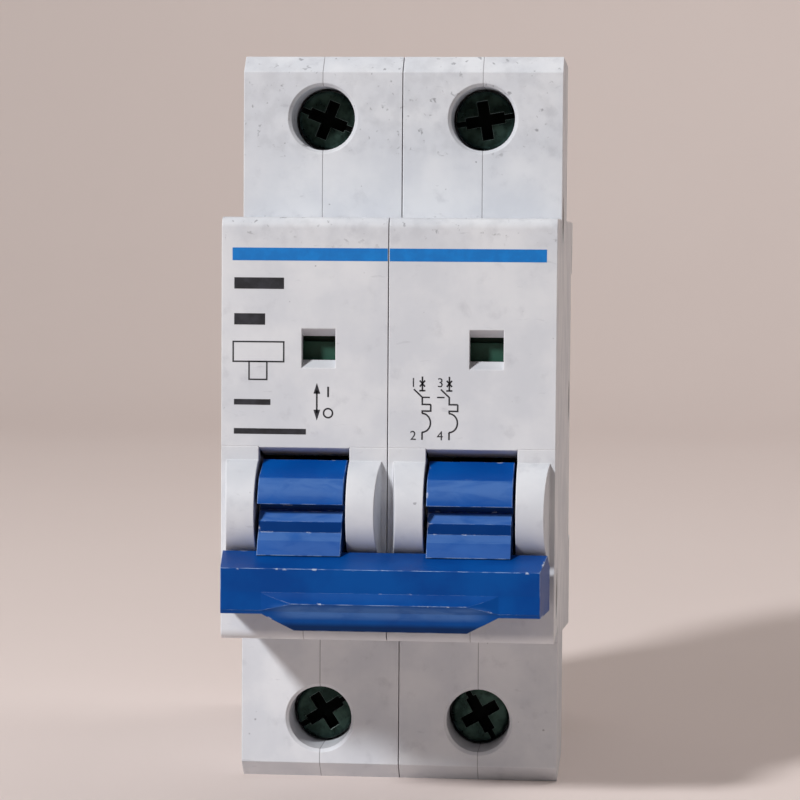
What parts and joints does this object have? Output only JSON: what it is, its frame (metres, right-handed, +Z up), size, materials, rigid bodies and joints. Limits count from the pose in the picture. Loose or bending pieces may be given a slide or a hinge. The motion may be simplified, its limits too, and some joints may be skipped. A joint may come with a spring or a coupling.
{
  "type": "two-pole miniature circuit breaker",
  "caption": "Rail-mounted double-pole circuit breaker, with linked toggles, screw terminals, state flags and a thermal-magnetic trip inside.",
  "frame": {"origin": "middle of the bottom of the outer box, in the lower end face the breaker stands on", "axes": "+Z up along the case, +X to the right seen from the front, -Y to the front where the handle is"},
  "size_m": [0.0356, 0.0746, 0.081],
  "materials": {
    "case_grey": "fine matt texture, lightly scuffed",
    "cover_grey": "fine matt texture with printed label",
    "handle_blue": "semi-gloss, worn along the edges",
    "bar_blue": "semi-gloss, worn along the edges",
    "flag_paint": "matt, two coloured fields",
    "clip_grey": "matt",
    "screw_black": "black zinc",
    "steel_zinc": "zinc plated",
    "steel_plain": "plain",
    "spring_steel": "oiled",
    "copper": "bare copper",
    "enamel_copper": "enamelled copper",
    "bimetal": "rolled bimetal",
    "fibre": "vulcanised fibre",
    "bobbin_white": "moulded",
    "lever_white": "moulded",
    "rivet_brass": "plated"
  },
  "bodies": {
    "case": {"pole1_case_left": "case_grey", "pole1_case_right": "case_grey", "pole1_front_cover": "cover_grey", "pole1_toggle_spring": "spring_steel", "pole1_contact_spring": "spring_steel", "pole1_fixed_contact": "copper", "pole1_arc_plates": "steel_plain", "pole1_arc_frame": "fibre", "pole1_bobbin": "bobbin_white", "pole1_coil": "enamel_copper", "pole1_yoke": "steel_zinc", "pole1_bimetal": "bimetal", "pole1_braid": "copper", "pole1_upper_strap": "copper", "pole1_lower_strap": "copper", "pole1_clip_spring": "spring_steel", "pole2_case_left": "case_grey", "pole2_case_right": "case_grey", "pole2_front_cover": "cover_grey", "pole2_toggle_spring": "spring_steel", "pole2_contact_spring": "spring_steel", "pole2_fixed_contact": "copper", "pole2_arc_plates": "steel_plain", "pole2_arc_frame": "fibre", "pole2_bobbin": "bobbin_white", "pole2_coil": "enamel_copper", "pole2_yoke": "steel_zinc", "pole2_bimetal": "bimetal", "pole2_braid": "copper", "pole2_upper_strap": "copper", "pole2_lower_strap": "copper", "pole2_clip_spring": "spring_steel", "toggle_pins": "steel_plain", "arm_pins": "steel_plain", "case_rivets": "rivet_brass"},
    "handle": {"pole1_toggle": "handle_blue", "pole2_toggle": "handle_blue", "tie_bar": "bar_blue"},
    "trip": {"pole1_trip_lever": "lever_white", "pole2_trip_lever": "lever_white", "trip_shaft": "steel_plain"},
    "pole1_link": {"pole1_toggle_link": "spring_steel"},
    "pole1_arm": {"pole1_contact_arm": "copper"},
    "pole1_flag": {"pole1_flag": "flag_paint"},
    "pole1_plunger": {"pole1_plunger": "steel_plain"},
    "pole1_lower_screw": {"pole1_lower_screw": "screw_black"},
    "pole1_lower_cage": {"pole1_lower_cage": "steel_zinc"},
    "pole1_upper_screw": {"pole1_upper_screw": "screw_black"},
    "pole1_upper_cage": {"pole1_upper_cage": "steel_zinc"},
    "pole1_rail_clip": {"pole1_rail_clip": "clip_grey"},
    "pole2_link": {"pole2_toggle_link": "spring_steel"},
    "pole2_arm": {"pole2_contact_arm": "copper"},
    "pole2_flag": {"pole2_flag": "flag_paint"},
    "pole2_plunger": {"pole2_plunger": "steel_plain"},
    "pole2_lower_screw": {"pole2_lower_screw": "screw_black"},
    "pole2_lower_cage": {"pole2_lower_cage": "steel_zinc"},
    "pole2_upper_screw": {"pole2_upper_screw": "screw_black"},
    "pole2_upper_cage": {"pole2_upper_cage": "steel_zinc"},
    "pole2_rail_clip": {"pole2_rail_clip": "clip_grey"}
  },
  "joints": [
    {"name": "handle_turn", "type": "hinge", "parent": "case", "child": "handle", "pos_m": [0, -0.02655, 0.032], "axis": [-1, 0, 0], "range_deg": [0, 85]},
    {"name": "trip_turn", "type": "hinge", "parent": "case", "child": "trip", "pos_m": [0, -0.00275, 0.0515], "axis": [1, 0, 0], "range_deg": [0, 15], "stiffness_Nm_per_rad": 0.002, "springref_deg": -17.19},
    {"name": "pole1_link_turn", "type": "hinge", "parent": "handle", "child": "pole1_link", "pos_m": [-0.0089, -0.02546, 0.03501], "axis": [-1, 0, 0], "range_deg": [-93, 0]},
    {"name": "pole1_arm_turn", "type": "hinge", "parent": "case", "child": "pole1_arm", "pos_m": [-0.0089, 0.00225, 0.046], "axis": [-1, 0, 0], "range_deg": [-20, 0]},
    {"name": "pole1_flag_slide", "type": "slide", "parent": "case", "child": "pole1_flag", "axis": [0, 0, -1], "range_m": [0, 0.0045]},
    {"name": "pole1_plunger_slide", "type": "slide", "parent": "case", "child": "pole1_plunger", "axis": [0, -1, 0], "range_m": [0, 0.002]},
    {"name": "pole1_lower_screw_turn", "type": "hinge", "parent": "case", "child": "pole1_lower_screw", "pos_m": [-0.0089, 0.00075, 0.0069], "axis": [0, 1, 0], "range_deg": [0, 2340]},
    {"name": "pole1_lower_cage_slide", "type": "slide", "parent": "case", "child": "pole1_lower_cage", "axis": [0, -1, 0], "range_m": [0, 0.0052]},
    {"name": "pole1_upper_screw_turn", "type": "hinge", "parent": "case", "child": "pole1_upper_screw", "pos_m": [-0.0089, 0.00075, 0.0741], "axis": [0, 1, 0], "range_deg": [0, 2340]},
    {"name": "pole1_upper_cage_slide", "type": "slide", "parent": "case", "child": "pole1_upper_cage", "axis": [0, -1, 0], "range_m": [0, 0.0052]},
    {"name": "pole1_rail_clip_slide", "type": "slide", "parent": "case", "child": "pole1_rail_clip", "axis": [0, 0, -1], "range_m": [0, 0.0035], "stiffness_N_per_m": 1500, "springref_m": -0.003, "deforming": ["pole1_clip_spring"]},
    {"name": "pole2_link_turn", "type": "hinge", "parent": "handle", "child": "pole2_link", "pos_m": [0.0089, -0.02546, 0.03501], "axis": [-1, 0, 0], "range_deg": [-93, 0]},
    {"name": "pole2_arm_turn", "type": "hinge", "parent": "case", "child": "pole2_arm", "pos_m": [0.0089, 0.00225, 0.046], "axis": [-1, 0, 0], "range_deg": [-20, 0]},
    {"name": "pole2_flag_slide", "type": "slide", "parent": "case", "child": "pole2_flag", "axis": [0, 0, -1], "range_m": [0, 0.0045]},
    {"name": "pole2_plunger_slide", "type": "slide", "parent": "case", "child": "pole2_plunger", "axis": [0, -1, 0], "range_m": [0, 0.002]},
    {"name": "pole2_lower_screw_turn", "type": "hinge", "parent": "case", "child": "pole2_lower_screw", "pos_m": [0.0089, 0.00075, 0.0069], "axis": [0, 1, 0], "range_deg": [0, 2340]},
    {"name": "pole2_lower_cage_slide", "type": "slide", "parent": "case", "child": "pole2_lower_cage", "axis": [0, -1, 0], "range_m": [0, 0.0052]},
    {"name": "pole2_upper_screw_turn", "type": "hinge", "parent": "case", "child": "pole2_upper_screw", "pos_m": [0.0089, 0.00075, 0.0741], "axis": [0, 1, 0], "range_deg": [0, 2340]},
    {"name": "pole2_upper_cage_slide", "type": "slide", "parent": "case", "child": "pole2_upper_cage", "axis": [0, -1, 0], "range_m": [0, 0.0052]},
    {"name": "pole2_rail_clip_slide", "type": "slide", "parent": "case", "child": "pole2_rail_clip", "axis": [0, 0, -1], "range_m": [0, 0.0035], "stiffness_N_per_m": 1500, "springref_m": -0.003, "deforming": ["pole2_clip_spring"]}
  ],
  "couplings": [
    {"joint": "pole1_link_turn", "follows": "handle_turn", "ratio": -1.089},
    {"joint": "pole1_arm_turn", "follows": "handle_turn", "ratio": -0.2352},
    {"joint": "pole1_flag_slide", "follows": "handle_turn", "m_per_rad": 0.00303},
    {"joint": "trip_turn", "follows": "pole1_plunger_slide", "rad_per_m": 130.89},
    {"joint": "pole1_lower_screw_turn", "follows": "pole1_lower_cage_slide", "rad_per_m": 7853.9},
    {"joint": "pole1_upper_screw_turn", "follows": "pole1_upper_cage_slide", "rad_per_m": 7853.9},
    {"joint": "pole2_link_turn", "follows": "handle_turn", "ratio": -1.089},
    {"joint": "pole2_arm_turn", "follows": "handle_turn", "ratio": -0.2352},
    {"joint": "pole2_flag_slide", "follows": "handle_turn", "m_per_rad": 0.00303},
    {"joint": "pole2_plunger_slide", "follows": "pole1_plunger_slide", "ratio": 1},
    {"joint": "pole2_lower_screw_turn", "follows": "pole2_lower_cage_slide", "rad_per_m": 7853.9},
    {"joint": "pole2_upper_screw_turn", "follows": "pole2_upper_cage_slide", "rad_per_m": 7853.9}
  ]
}
